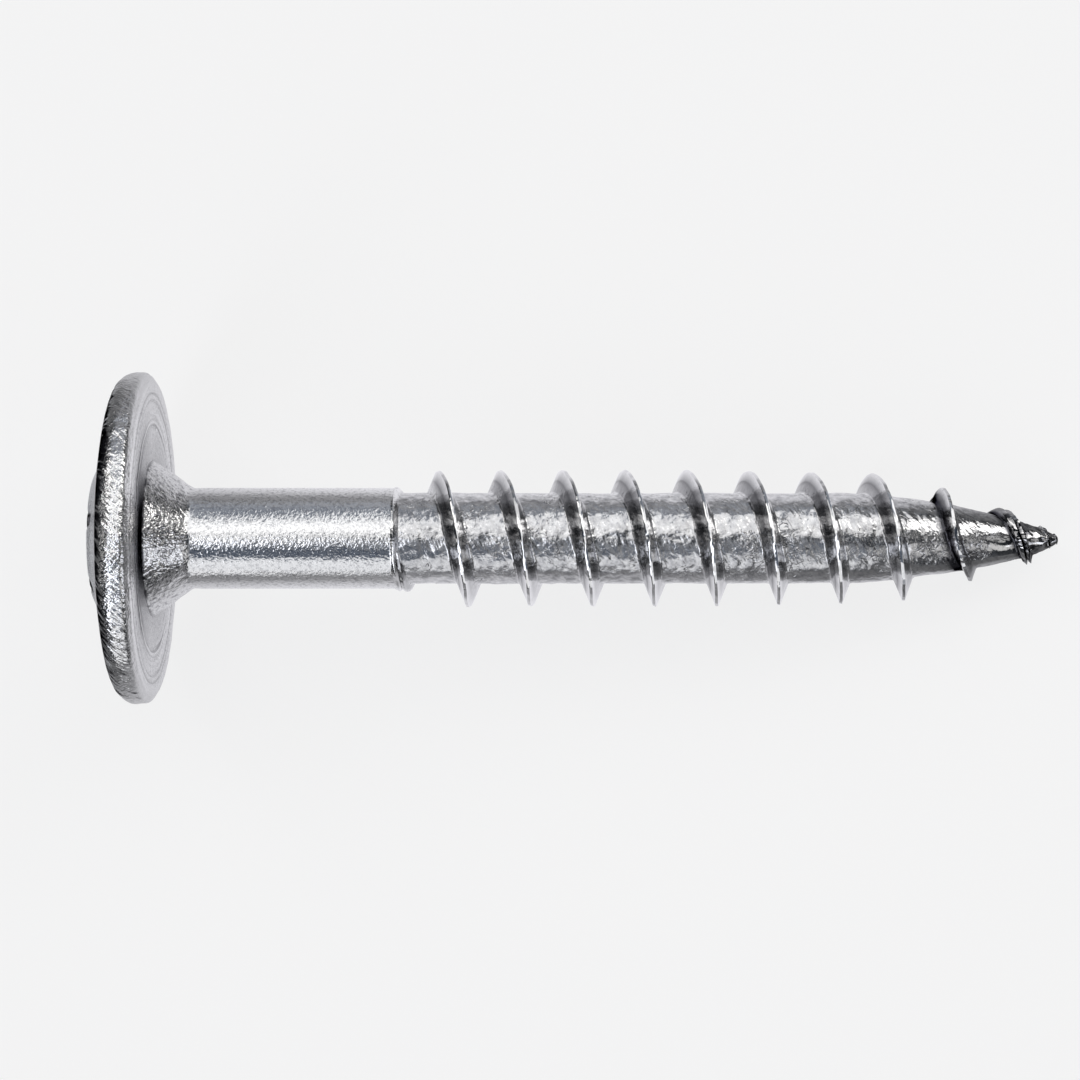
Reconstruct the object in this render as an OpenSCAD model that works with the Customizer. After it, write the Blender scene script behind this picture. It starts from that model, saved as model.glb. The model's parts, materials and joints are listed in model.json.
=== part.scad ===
// Chipboard screw with a washer head, lying on the rim of its head and on its thread.
// Heights along the screw are measured from its seat, the flat underside of the head.
// The point is above the seat and the crown of the head is below it.

/* [Head] */
// Diameter of the washer head over its rim
head_d = 14.6; // [12:0.1:16.4]
// Height of the flange from the seat to where its sloping side would meet the rim
rim_h = 1.34; // [1.2:0.02:1.8]
// Slope of that side of the flange
flange_slope = 12.5; // [6:0.5:16]
// Rounding of the rim towards the crown
rim_round = 0.8; // [0.2:0.05:0.85]
// Rounding of the rim towards the seat
seat_round = 0.35; // [0.1:0.05:0.4]
// Diameter of the raised crown at its foot
crown_d = 7.3; // [6.8:0.1:9]
// Height of the crown above its foot
crown_h = 0.35; // [0.1:0.05:0.8]
// Width of the flat land round the recess
land_w = 0.1; // [0.05:0.05:0.3]

/* [Drive] */
// Width of the six-lobe recess over its lobes
drive_w = 5.6; // [4.6:0.1:6]
// Width of the recess over the ribs between its lobes
drive_rib_w = 3.95; // [3.8:0.05:4.1]
// Radius of each lobe
lobe_r = 0.46; // [0.3:0.02:0.5]
// Depth of the lobes below the crown
drive_depth = 2.4; // [1.5:0.1:2.8]
// Depth of the cone at the bottom of the recess
drive_cone_h = 0.6; // [0.2:0.1:0.8]
// Diameter of the flat at the end of that cone
drive_flat_d = 0.6; // [0.2:0.1:1.5]
// Angle of the first lobe round the screw
drive_turn = 44; // [0:1:59]

/* [Neck and shank] */
// Diameter of the neck cone at the seat
neck_d = 6.84; // [6.2:0.02:8]
// Height of the neck cone
neck_h = 1.7; // [1.2:0.05:2.5]
// Radius of the fillet between the neck cone and the shank
neck_fillet = 0.5; // [0.2:0.1:1.2]
// Diameter of the smooth shank
shank_d = 4.46; // [4.3:0.02:5]
// Height at which the smooth shank ends
shank_l = 10.75; // [8:0.25:18]
// Height of the shoulder that runs from the shank down to the core
shoulder_h = 0.3; // [0.1:0.05:0.6]

/* [Thread] */
// Length of the screw from the seat to the end of the point
screw_l = 40; // [34:1:60]
// Outer diameter of the thread
thread_d = 6.02; // [5.4:0.02:6.4]
// Diameter of the core
core_d = 4; // [3.5:0.02:4.1]
// Distance from one turn of the thread to the next
pitch = 2.75; // [2:0.05:3.2]
// Angle between the two flanks of the thread
flank_angle = 40; // [30:1:50]
// Width of the crest
crest_w = 0.1; // [0.04:0.02:0.2]
// Size of the fillets at the foot of the flanks
foot = 0.16; // [0.05:0.01:0.25]
// Angle round the screw at which the thread leaves the shank
thread_turn = 222; // [0:1:359]
// Distance in which the thread rises out of the shank to its full height
rise_l = 2.25; // [1:0.05:4]
// Radius that the crest loses on its way to the point
crest_loss = 0.17; // [0:0.01:0.3]
// Distance from the end of the point at which the crest starts to lose radius
loss_l = 16; // [13:0.5:18]

/* [Point] */
// Length over which the core narrows to the point
point_l = 9.6; // [6:0.1:12]
// Length over which the thread fades out on the point
fade_l = 7.3; // [4:0.1:9]
// How far the worn end falls short of a sharp point
tip_flat = 0.12; // [0.05:0.01:0.3]

/* [Facets] */
// Steps in each turn of the thread
turn_steps = 40; // [24:1:48]
// Straight pieces in each rounded corner of an outline
arc_steps = 8; // [4:1:12]

/* [Hidden] */
$fn = 96;
// How far a cut starts outside the metal
clear = 0.5;
head_r = head_d / 2;
shank_r = shank_d / 2;
core_r = core_d / 2;
neck_r = neck_d / 2;

// Points along an arc, from one angle to another
function arc(centre, radius, from, to) =
    [for (i = [0:arc_steps])
        let (a = from + (to - from) * i / arc_steps)
        centre + radius * [cos(a), sin(a)]];

// The flange rises from its rim to the foot of the crown, and the crown rises from there
crown_r = crown_d / 2;
land_r = drive_w / 2 + land_w;
crown_z = rim_h + (head_r - crown_r) * tan(flange_slope);
head_h = crown_z + crown_h;
// Centre of the rim's rounding towards the crown, which touches the flange and the rim alike
rim_x = head_r - rim_round;
rim_z = rim_round * tan(45 - flange_slope / 2) - rim_h;

// The fillet touches the neck cone and the shank alike
neck_slope = atan2(neck_h, neck_r - shank_r);
neck_fillet_x = shank_r + neck_fillet;
neck_fillet_z = neck_h + neck_fillet * tan((90 - neck_slope) / 2);

// The ribs of the recess are arcs that touch the lobes on both sides
lobe_x = drive_w / 2 - lobe_r;
rib_edge = drive_rib_w / 2;
rib_r = (lobe_x ^ 2 + rib_edge ^ 2 - 2 * lobe_x * rib_edge * cos(30) - lobe_r ^ 2)
    / (2 * lobe_r + 2 * lobe_x * cos(30) - 2 * rib_edge);
rib_x = rib_edge + rib_r;
// Direction from the middle of a lobe to the middle of the next rib
rib_turn = atan2(rib_x * sin(30), rib_x * cos(30) - lobe_x);

// Half of one lobe's arc and half of the next rib's arc, for the lobe at an angle
function lobe(turn) =
    [for (p = concat(
            arc([lobe_x, 0], lobe_r, -rib_turn, rib_turn),
            arc(rib_x * [cos(30), sin(30)], rib_r, 180 + rib_turn, 240 - rib_turn)))
        [p.x * cos(turn) - p.y * sin(turn), p.x * sin(turn) + p.y * cos(turn)]];

// Straight part of the head, neck and shank, turned about the screw's axis
module blank() {
    core_top = shank_l + shoulder_h;
    outline = concat(
        [[0, core_top], [0, -head_h], [land_r, -head_h], [crown_r, -crown_z]],
        arc([rim_x, rim_z], rim_round, flange_slope - 90, 0),
        arc([head_r - seat_round, -seat_round], seat_round, 0, 90),
        [[neck_r, 0]],
        arc([neck_fillet_x, neck_fillet_z], neck_fillet, 270 - neck_slope, 180),
        [[shank_r, shank_l], [core_r - foot, core_top]]);
    // Turned half round, so that the seam of the outline faces up and the rim rests clear of it
    rotate(180)
        rotate_extrude() polygon(outline);
}

module drive_recess() {
    rotate(drive_turn)
        translate([0, 0, -head_h - clear])
            linear_extrude(drive_depth + clear)
                polygon([for (i = [0:5]) each lobe(60 * i)]);
    translate([0, 0, drive_depth - head_h])
        cylinder(h = drive_cone_h, r1 = rib_edge, r2 = drive_flat_d / 2);
}

// The core narrows to a blunt ogive: full below the point, nothing at its sharp end.
// The first power sets how soon it narrows and the second how blunt it ends.
point_start = 1.5;
point_end = 0.75;
sharp_z = screw_l + tip_flat;
point_z = sharp_z - point_l;
function core_at(z) =
    z <= point_z ? core_r
    : core_r * (1 - ((z - point_z) / point_l) ^ point_start) ^ point_end;

// Share that runs from 0 to 1 between two heights
function share(z, from, to) = min(1, max(0, (z - from) / (to - from)));

// Height of the crest above the core. It is still buried in the shank where it starts,
// and it fades out on the point slowly at first and then fast.
buried = 0.4;
rise_z = shank_l - buried;
loss_z = sharp_z - loss_l;
fade_power = 2;
function ridge_at(z) =
    (thread_d / 2 - crest_loss * share(z, loss_z, sharp_z - fade_l) - core_at(z))
    * share(z, rise_z, rise_z + rise_l)
    * share(z, sharp_z, sharp_z - fade_l) ^ fade_power;

// Height along the screw after a number of turns. The first turn is inside the shank,
// and the last turns close up towards the point.
inside_turns = 1.15;
strip_z = shank_l - inside_turns * pitch;
close_l = 2.6;
close_turn = (sharp_z - close_l - strip_z) / pitch;
function height_at(turn) =
    turn <= close_turn ? strip_z + pitch * turn
    : sharp_z - close_l * exp((close_turn - turn) * pitch / close_l);

// Section of one turn: [distance from the crest along the screw, height above the core].
// It starts half a pitch before the crest, in the middle of the groove.
function section(ridge) =
    let (side = flank_angle / 2,
         top = crest_w / 2,
         base = top + ridge * tan(side),
         fillet = foot * min(1, ridge / foot / 2))
    [[-pitch / 2, 0],
     [-base - fillet, 0],
     [-base + fillet * sin(side), fillet * cos(side)],
     [-top, ridge],
     [top, ridge],
     [base - fillet * sin(side), fillet * cos(side)],
     [base + fillet, 0]];
rows = 7;
// Distance from the sharp end at which the strip ends and the worn end closes it
end_gap = 0.17;

// Point of the surface at a step round the screw and a row of the section
function skin(step, row) =
    let (turn = step / turn_steps,
         place = section(ridge_at(height_at(turn + 0.5)))[row],
         z = height_at(turn + 0.5 + place.x / pitch),
         r = core_at(z) + place.y,
         a = thread_turn + 360 * (turn + 0.5 - (shank_l - strip_z) / pitch))
    [r * cos(a), r * sin(a), z];

// The threaded core and the point are one skin: a strip that winds round the axis,
// whose last row in one turn is the first row of the next turn
module threaded_core() {
    last_turn = close_turn + ln(close_l / end_gap) * close_l / pitch;
    steps = ceil((last_turn - 1) * turn_steps);
    points = concat(
        [for (step = [0:steps], row = [0:rows - 1]) skin(step, row)],
        [for (step = [steps + 1:steps + turn_steps]) skin(step, 0)],
        [[0, 0, strip_z], [0, 0, screw_l]]);
    function at(step, row) =
        row == rows ? at(step + turn_steps, 0)
        : step <= steps ? step * rows + row
        : (steps + 1) * rows + step - steps - 1;
    bottom = len(points) - 2;
    top = len(points) - 1;
    function edge(step) = concat(
        [for (i = [0:turn_steps]) at(step + i, 0)],
        [for (row = [rows - 1:-1:0]) at(step, row)]);
    first = edge(0);
    last = edge(steps);
    faces = concat(
        [for (step = [0:steps - 1], row = [0:rows - 1])
            [at(step, row), at(step, row + 1), at(step + 1, row)]],
        [for (step = [0:steps - 1], row = [0:rows - 1])
            [at(step, row + 1), at(step + 1, row + 1), at(step + 1, row)]],
        [for (i = [0:len(first) - 2]) [bottom, first[i], first[i + 1]]],
        [for (i = [0:len(last) - 2]) [top, last[i + 1], last[i]]]);
    polyhedron(points, faces);
}

// The screw with its axis upright and its point at the top
module upright_screw() {
    difference() {
        union() {
            blank();
            threaded_core();
        }
        drive_recess();
    }
}

// The screw lies on its rim and leans until the first crest touches the floor.
// The thread meets the floor once in each turn.
floor_z = shank_l - pitch * thread_turn / 360;
floor_turns = floor((sharp_z - floor_z) / pitch);
lean = min([for (i = [1:floor_turns])
    let (z = floor_z + pitch * i)
    atan2(head_r - core_at(z) - ridge_at(z), z + seat_round)]);
lift = (head_r - seat_round) * cos(lean) + seat_round * (1 - sin(lean));
back = (screw_l * cos(lean) - head_h * cos(lean) - land_r * sin(lean)) / 2;

module screw() {
    color("silver")
        translate([-back, 0, lift])
            rotate([0, 90 + lean, 0])
                upright_screw();
}

screw();
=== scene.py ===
"""Chipboard screw with a washer head: the fine surface of its zinc plated steel, and the
stage that it lies on. Heights are measured along the screw from its seat, the flat
underside of the head, and angles round the screw start on the side that faces the floor."""
import json
import math

import bpy
import numpy as np
from mathutils import Matrix, Vector


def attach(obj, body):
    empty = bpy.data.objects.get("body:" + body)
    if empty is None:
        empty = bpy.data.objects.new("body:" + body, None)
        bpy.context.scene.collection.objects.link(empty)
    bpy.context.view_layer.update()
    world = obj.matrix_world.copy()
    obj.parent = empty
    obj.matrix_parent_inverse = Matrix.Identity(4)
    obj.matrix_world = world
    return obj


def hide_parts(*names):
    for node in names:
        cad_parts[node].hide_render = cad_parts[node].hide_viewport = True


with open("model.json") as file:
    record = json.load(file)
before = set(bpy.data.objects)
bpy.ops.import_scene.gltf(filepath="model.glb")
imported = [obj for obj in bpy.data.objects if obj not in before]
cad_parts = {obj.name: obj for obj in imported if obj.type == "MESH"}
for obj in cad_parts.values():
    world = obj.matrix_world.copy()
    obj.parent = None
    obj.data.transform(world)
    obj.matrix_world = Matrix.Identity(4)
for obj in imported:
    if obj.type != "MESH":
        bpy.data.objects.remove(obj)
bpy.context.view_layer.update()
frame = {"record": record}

bl_info = {
    "name": "Chipboard screw",
    "version": (1, 0, 0),
    "blender": (4, 5, 0),
    "location": "3D View > Sidebar > Screw",
    "description": "A zinc plated chipboard screw lying on a pale floor",
    "category": "Add Mesh",
}

MM = 0.001
mounts = {mount["name"]: mount for mount in frame["record"]["mounts"]}


# Sizes and colours


def length(name, value, description):
    """A length in millimetres, kept in metres."""
    return bpy.props.FloatProperty(
        name=name, description=description, default=value * MM, unit="LENGTH", precision=5
    )


def angle(name, value, description):
    """An angle in degrees, kept in radians."""
    return bpy.props.FloatProperty(
        name=name, description=description, default=math.radians(value), subtype="ANGLE"
    )


def amount(name, value, description):
    """A plain number."""
    return bpy.props.FloatProperty(name=name, description=description, default=value)


def colour(name, value, description):
    """A colour, as the shader takes it."""
    return bpy.props.FloatVectorProperty(
        name=name, description=description, default=value, subtype="COLOR", size=3, min=0, max=1
    )


class ScrewHead(bpy.types.PropertyGroup):
    """Washer head with its crown and drive recess."""

    head_d: length("Head", 14.6, "Diameter of the head over its rim")
    rim_h: length("Rim height", 1.34, "Height of the flange where its slope meets the rim")
    flange_slope: angle("Flange slope", 12.5, "Slope of the flange on the crown's side")
    rim_round: length("Rim rounding", 0.8, "Rounding of the rim towards the crown")
    seat_round: length("Seat rounding", 0.3, "Rounding of the rim towards the seat")
    seat_edge_w: length("Seat edge", 0.25, "Width of the sloping edge round the seat")
    seat_edge_slope: angle("Seat edge slope", 33, "Slope of that edge")
    crown_d: length("Crown", 7.3, "Diameter of the raised crown at its foot")
    crown_h: length("Crown height", 0.35, "Height of the crown above its foot")
    crown_blend: length("Crown fillet", 0.5, "Reach of the fillet at the foot of the crown")
    land_w: length("Land", 0.1, "Width of the flat land round the recess")
    drive_w: length("Drive width", 5.6, "Width of the recess over its lobes")
    drive_rib_w: length("Rib width", 3.95, "Width of the recess over its ribs")
    lobe_r: length("Lobe radius", 0.46, "Radius of each lobe")
    drive_depth: length("Drive depth", 2.4, "Depth of the lobes below the crown")
    drive_cone_h: length("Cone depth", 0.6, "Depth of the cone at the bottom of the recess")
    drive_flat_d: length("Cone end", 0.6, "Diameter of the flat at the end of the cone")
    drive_edge: length("Edge break", 0.05, "Rounding of the recess at its mouth and floor")
    notch: length("Notches", 0.3, "Depth of the notches where the lobes break the crown's edge")
    drive_turn: angle("Drive turn", 44, "Angle of the first lobe round the screw")


class ScrewShank(bpy.types.PropertyGroup):
    """Neck cone, smooth shank and the collar where rolling raised the metal."""

    neck_d: length("Neck", 6.84, "Diameter of the neck cone at the seat")
    neck_h: length("Neck height", 1.7, "Height of the neck cone")
    neck_fillet: length("Neck fillet", 0.5, "Radius between the neck cone and the shank")
    shank_d: length("Shank", 4.46, "Diameter of the smooth shank")
    shank_l: length("Shank end", 10.75, "Height at which the smooth shank ends")
    shoulder_h: length("Shoulder", 0.3, "Height of the step from the shank to the core")
    collar_wave: length("Collar wave", 0.2, "How far the shank's end wanders round the screw")
    collar_lip: length("Collar lip", 0.1, "Height of the metal raised at the shank's end")


class ScrewThread(bpy.types.PropertyGroup):
    """Coarse rolled thread and gimlet point."""

    screw_l: length("Length", 40, "From the seat to the end of the point")
    thread_d: length("Thread", 6.02, "Outer diameter of the thread")
    core_d: length("Core", 4, "Diameter of the core")
    pitch: length("Pitch", 2.75, "From one turn to the next")
    flank_angle: angle("Flank angle", 40, "Angle between the two flanks")
    crest_lean: angle("Crest lean", 12, "Lean of the crest's narrow face towards the head")
    crest_w: length("Crest", 0.13, "Width of the crest")
    foot: length("Foot", 0.1, "Size of the fillets at the foot of the flanks")
    thread_turn: angle("Thread turn", 222, "Angle at which the thread leaves the shank")
    rise_l: length("Rise", 2.25, "Distance in which the thread rises to its full height")
    crest_loss: length("Crest loss", 0.17, "Radius that the crest loses towards the point")
    loss_l: length("Loss length", 16, "Distance from the point at which that loss starts")
    point_l: length("Point", 9.6, "Length over which the core narrows")
    fade_l: length("Fade", 7.3, "Length over which the thread fades out on the point")
    tip_flat: length("Tip wear", 0.12, "How far the worn end falls short of a sharp point")
    drift: length("Drift", 0.27, "How far the side away from the floor strays towards the point")
    late: length("Late turns", 0.25, "How far the last turns lie beyond an even run")
    chip_l: length("Chip", 5.6, "Distance from the point at which the chip out of the last full turn ends")
    tail_lean: angle("Tail lean", 22, "How much further the two crests of the tail lean towards the head")
    set_back: length("Set back", 0.32, "How far the last full turn is pressed back on that side")
    tail_l: length("Tail", 3.4, "Distance from the point at which the crest splits in two")
    tail_h: length("Tail height", 0.3, "Height of the split crest above the core")
    tail_w: length("Tail width", 0.34, "Distance between the two crests of the tail")
    point_bend: length("Bend", 0.07, "How far the point is bent to one side")


class ScrewSurface(bpy.types.PropertyGroup):
    """Marks of forging, turning and rolling, and the zinc over them."""

    ring_depth: length("Turning rings", 0.06, "Depth of the rings turned into the seat")
    die_depth: length("Die marks", 0.058, "Depth of the marks that the dies left on the rim")
    die_net: length("Die net", 0.05, "Depth of the fine crossing marks on the rim")
    hammer_depth: length("Dents", 0.042, "Depth of the dents in the core and the neck")
    peel: length("Orange peel", 0.036, "Depth of the fine wrinkles in the plating")
    dent: length("Fine dents", 0.05, "Depth of the wider dents where the metal is rough")
    swell: length("Swells", 0.06, "Depth of the broad unevenness of the core")
    crinkle: length("Crinkles", 0.05, "Height of the folds rolled into the core")
    rolled: length("Rolled streaks", 0.03, "Depth of the streaks that rolling drew round the core")
    crest_nick: length("Nicks", 0.035, "Depth of the nicks in the crest")
    pit_depth: length("Pits", 0.07, "Depth of the pits in the point")
    zinc: colour("Zinc", (0.82, 0.82, 0.825), "Bright zinc plating")
    # The shaded zinc colour is painted shade in the plating's pits, and the duller tone of the core's
    # dents.
    shade: colour("Shaded zinc", (0.36, 0.362, 0.38), "Plating in the pits")
    # The root grime colour is painted shade, laid in the thread's corners, on the seat, the rim, the
    # crown's notches, the point's pits and the recess.
    painted_shade: colour("Root grime", (0.05, 0.05, 0.06), "Dark film in the corners of the thread")
    gloss: amount("Roughness", 0.085, "Roughness of the smooth plating")
    satin: amount("Satin", 0.13, "Roughness that rolling added on the core")


class ScrewStage(bpy.types.PropertyGroup):
    """Floor, lamps and camera."""

    floor: colour("Floor", (0.888, 0.888, 0.888), "Pale floor and background")
    floor_tint: colour("Mirrored floor", (0.885, 0.879, 0.922), "Floor as the metal mirrors it")
    floor_glow: amount("Floor glow", 0.868, "Share of the floor's paleness that no shadow takes")
    floor_near: amount("Bright floor", 0.95, "Glow of the floor under the screw, as the metal mirrors it")
    floor_far: amount("Dim floor", 0.2, "Glow of the floor further off, as the metal mirrors it")
    floor_reach: length("Floor reach", 27, "Distance in which the mirrored floor dims")
    floor_end: length("Floor ends", 18, "Distance along the screw at which the mirrored floor darkens")
    floor_shade: amount("Floor shade", 0.22, "Share of the floor's paleness that shadows take")
    room: amount("Room", 0.09, "Strength of the light from all round")
    room_end: amount("Room ends", 0.1, "Share of that light that comes from beyond the screw's ends")
    horizon: amount("Horizon", 4, "How much brighter the room is near the floor")
    key_light: amount("Key light", 1.03, "Brightness of the softbox behind the screw")
    fill_light: amount("Fill light", 0.66, "Brightness of the softbox in front of the screw")
    side_light: amount("Side light", 0.9, "Brightness of the softboxes beside the head")
    end_light: amount("End lights", 0.95, "Brightness of the two softboxes beyond the point")
    view_height: length("Camera distance", 104.05, "From the camera to the screw's axis")
    view_middle: length("View middle", 17.03, "Place on the axis that the camera looks at")
    view_shift: length("View offset", 0.075, "How far the axis is drawn above the middle")
    view_tilt: angle("Camera tilt", -0.5, "Lean of the camera along the screw")
    frame_w: length("Frame width", 47.82, "What the camera sees across, at the screw's axis")


# Shared shapes


def share(place, start, end):
    """Runs from 0 at start to 1 at end."""
    return np.clip((place - start) / (end - start), 0, 1)


def ease(t):
    """Turns a straight run from 0 to 1 into one that starts and ends gently."""
    return t * t * (3 - 2 * t)


def hump(place, middle, width):
    """A smooth hump of height 1."""
    return np.exp(-(((place - middle) / width) ** 2))


def cell_value(cell, seed):
    """A number from -1 to 1 that belongs to a cell of a grid and is the same in each run."""
    mask = 0xFFFFFFFF
    h = (cell[..., 0] * 374761393 + cell[..., 1] * 668265263 + cell[..., 2] * 362437 + seed * 97561) & mask
    h = ((h ^ (h >> 13)) * 1274126177) & mask
    h = ((h ^ (h >> 15)) * 1103515245) & mask
    return ((h ^ (h >> 16)) & 0xFFFF) / 0x7FFF - 1


def grain(places, seed, around=None):
    """Smooth unevenness from -1 to 1 over places given in cells. Where around is given, the
    first coordinate repeats after that many cells, so that it closes round the screw."""
    low = np.floor(places).astype(np.int64)
    part = ease(places - low)
    total = 0
    for corner in np.ndindex(2, 2, 2):
        cell = low + np.array(corner)
        if around:
            cell[..., 0] %= around
        total = total + cell_value(cell, seed) * np.prod(np.where(corner, part, 1 - part), axis=-1)
    return total


def lumps(points, size, seed):
    """Unevenness with lumps of about one size in all directions."""
    return grain(points / size, seed)


def streaks(turn, z, count, reach, slant, seed):
    """Unevenness in streaks. There are count of them round the screw, each about as long as
    reach, and slant is how many streaks they cross in that length."""
    along = z / reach
    places = np.broadcast_arrays(turn / math.tau * count + slant * along, along, 0 * turn)
    return grain(np.stack(places, -1), seed, count)


def add_object(name, data):
    """A new object in the scene."""
    made = bpy.data.objects.new(name, data)
    bpy.context.scene.collection.objects.link(made)
    return made


def angles(steps):
    """Angles round the screw in even steps."""
    return np.arange(steps) * math.tau / steps


def round_points(radius, turn, z):
    """Points at a radius, an angle and a height."""
    radius, turn, z = np.broadcast_arrays(radius, turn, z)
    return np.stack((radius * np.cos(turn), radius * np.sin(turn), z), -1)


def arc(centre, radius, start, end, steps):
    """Points along an arc in the plane through the axis, with angles in radians."""
    a = np.linspace(start, end, steps)
    return np.stack((centre[0] + radius * np.cos(a), centre[1] + radius * np.sin(a)), -1)


def run(start, end, steps):
    """Points along a straight line, without its last one."""
    return np.linspace(start, end, steps, endpoint=False)


class Skin:
    """Rings of points round the axis, joined one after the other into a closed surface."""

    def __init__(self):
        self.points, self.faces, self.ring, self.count = [], [], None, 0

    def place(self, points):
        """Keeps points and returns their numbers."""
        self.points.append(np.asarray(points, float).reshape(-1, 3))
        start = self.count
        self.count += len(self.points[-1])
        return np.arange(start, self.count)

    def add_ring(self, radius, turn, z):
        """The next ring. It has as many points as the last, or half or twice as many."""
        new = self.place(round_points(radius, turn, z))
        old, self.ring = self.ring, new
        if old is None:
            return
        old_next, new_next = np.roll(old, -1), np.roll(new, -1)
        if len(old) == len(new):
            self.faces += np.stack((old, old_next, new_next, new), -1).tolist()
        elif 2 * len(old) == len(new):
            a, b, c = new[::2], new[1::2], new_next[1::2]
            self.faces += np.stack((old, b, a), -1).tolist()
            self.faces += np.stack((old, old_next, b), -1).tolist()
            self.faces += np.stack((old_next, c, b), -1).tolist()
        else:
            a, b, c = old[::2], old[1::2], old_next[1::2]
            self.faces += np.stack((a, b, new), -1).tolist()
            self.faces += np.stack((b, new_next, new), -1).tolist()
            self.faces += np.stack((b, c, new_next), -1).tolist()

    def cap(self, point, first=False):
        """Closes the ring with a fan to one point."""
        tip = self.place(point)[0]
        ring = self.ring[::-1] if first else self.ring
        self.faces += [[a, b, tip] for a, b in zip(ring, np.roll(ring, -1))]

    def to_object(self, name):
        mesh = bpy.data.meshes.new(name)
        mesh.from_pydata(np.vstack(self.points).tolist(), [], self.faces)
        return add_object(name, mesh)


def lathe_normals(outline):
    """Outward directions of an outline of [radius, height] that runs from the crown's middle
    over the rim to the point."""
    step = np.gradient(outline, axis=0)
    step /= np.linalg.norm(step, axis=1)[:, None]
    return np.stack((step[:, 1], -step[:, 0]), -1)


# Head, neck and shank

# Points in each ring of the crown and the seat. The rim has twice as many, the shank half.
HEAD_STEPS = 240
# Rings turned into the seat: radius and width in millimetres, and depth as a share of the
# turning rings' depth. The deepest has a raised edge inside it.
SEAT_GROOVES = ((6.4, 0.08, 0.8), (6.1, 0.08, 0.7), (5.4, 0.08, 0.5))
DEEP_GROOVE = ((4.95, 0.09, 1.7), (4.76, 0.08, -1.1))


def recess_radius(head, turn):
    """Radius of the six-lobe outline at an angle from the first lobe: arcs round the lobes,
    and arcs that touch them round the ribs."""
    lobe_x = head.drive_w / 2 - head.lobe_r
    rib = head.drive_rib_w / 2
    half = math.radians(30)
    rib_r = (lobe_x**2 + rib**2 - 2 * lobe_x * rib * math.cos(half) - head.lobe_r**2) / (
        2 * head.lobe_r + 2 * lobe_x * math.cos(half) - 2 * rib
    )
    rib_x = rib + rib_r
    touch = math.atan2(rib_x * math.sin(half), rib_x * math.cos(half) - lobe_x)
    edge = math.atan2(head.lobe_r * math.sin(touch), lobe_x + head.lobe_r * math.cos(touch))
    off = np.abs((turn + half) % (2 * half) - half)
    lobe = lobe_x * np.cos(off) + np.sqrt(np.maximum(head.lobe_r**2 - (lobe_x * np.sin(off)) ** 2, 0))
    side = half - off
    ribs = rib_x * np.cos(side) - np.sqrt(np.maximum(rib_r**2 - (rib_x * np.sin(side)) ** 2, 0))
    return np.where(off < edge, lobe, ribs)


def lobe_distance(head, turn):
    """Angle from the middle of the nearest lobe."""
    return np.abs((turn - head.drive_turn + math.pi / 6) % (math.pi / 3) - math.pi / 6)


def add_recess(skin, head, turn, head_h):
    """The flat end, the cone, the floor of the lobes, their wall and its mouth."""
    lobes = recess_radius(head, turn - head.drive_turn)
    flat, rib, edge = head.drive_flat_d / 2, head.drive_rib_w / 2, head.drive_edge
    floor_z = head.drive_depth - head_h
    deep_z = floor_z + head.drive_cone_h
    skin.add_ring(flat, turn, deep_z)
    skin.cap((0, 0, deep_z), first=True)
    for t in (0.33, 0.66, 0.96):
        skin.add_ring(flat + (rib - flat) * t, turn, deep_z + (floor_z - deep_z) * t)
    skin.add_ring(rib * 0.985 + (lobes - rib) * 0.5, turn, floor_z)
    skin.add_ring(lobes - edge, turn, floor_z)
    skin.add_ring(lobes, turn, floor_z - edge)
    for z in np.linspace(floor_z - 3 * edge, edge - head_h, 6):
        skin.add_ring(lobes, turn, z)
    skin.add_ring(lobes + 0.3 * edge, turn, 0.3 * edge - head_h)
    skin.add_ring(lobes + edge, turn, -head_h)


def add_crown(skin, head, turn, crown_z, rim_start):
    """Crown and flange, up to where the marks of the dies start."""
    crown_r, land_r = head.crown_d / 2, head.drive_w / 2 + head.land_w
    foot = head.crown_blend / 2
    rise = head.crown_h / (crown_r - land_r)
    start, corner = np.array((land_r, -crown_z - head.crown_h)), np.array((crown_r, -crown_z))
    down, out = np.array((-1, -rise)) * foot, np.array((1, math.tan(head.flange_slope))) * foot
    bend = [corner + down * (1 - t) ** 2 + out * t**2 for t in np.linspace(0, 1, 6)]
    crown = np.vstack((run(start, bend[0], 7), bend, run(bend[-1], rim_start, 7)[1:]))
    notch_w, notch_l = 0.26 * MM, 0.35 * MM
    notch_r = land_r - 0.05 * MM
    for r, z in crown:
        notch = hump(lobe_distance(head, turn) * r, 0, notch_w) * hump(r, notch_r, notch_l)
        skin.add_ring(r, turn, z + head.notch * notch)


def add_rim(skin, head, rim_arc, surface):
    """Rim with the slanting marks of the dies. It returns the radius at which the seat starts."""
    slope = head.seat_edge_slope
    flat_r = head.head_d / 2 - head.seat_round * (1 - math.sin(slope)) - head.seat_edge_w
    edge_z = -head.seat_edge_w * math.tan(slope) - head.seat_round * math.cos(slope)
    middle = (head.head_d / 2 - head.seat_round, edge_z)
    seat_arc = arc(middle, head.seat_round, 0, math.pi / 2 - slope, 6)
    straight, bevel = run(rim_arc[-1], seat_arc[0], 10)[1:], run(seat_arc[-1], (flat_r, 0), 5)[1:]
    rim = np.vstack((rim_arc, straight, seat_arc, bevel))
    turn = angles(2 * HEAD_STEPS)
    crown_fade, seat_fade = 6, 9
    highest = 0.4
    for i, ((r, z), (nr, nz)) in enumerate(zip(rim, lathe_normals(rim))):
        long_marks = streaks(turn, z, 96, 0.9 * MM, -1.6, 3)
        crossing_marks = streaks(turn, z, 150, 0.45 * MM, 0.9, 5)
        uneven = lumps(round_points(r, turn, z), 0.5 * MM, 8)
        mark = 0.5 * long_marks + 0.3 * crossing_marks + 0.3 * uneven
        fade = ease(min(1, i / crown_fade)) * ease(min(1, (len(rim) - 1 - i) / seat_fade))
        depth = surface.die_depth * fade * np.minimum(mark, highest)
        skin.add_ring(r + nr * depth, turn, z + nz * depth)
    return flat_r


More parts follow.
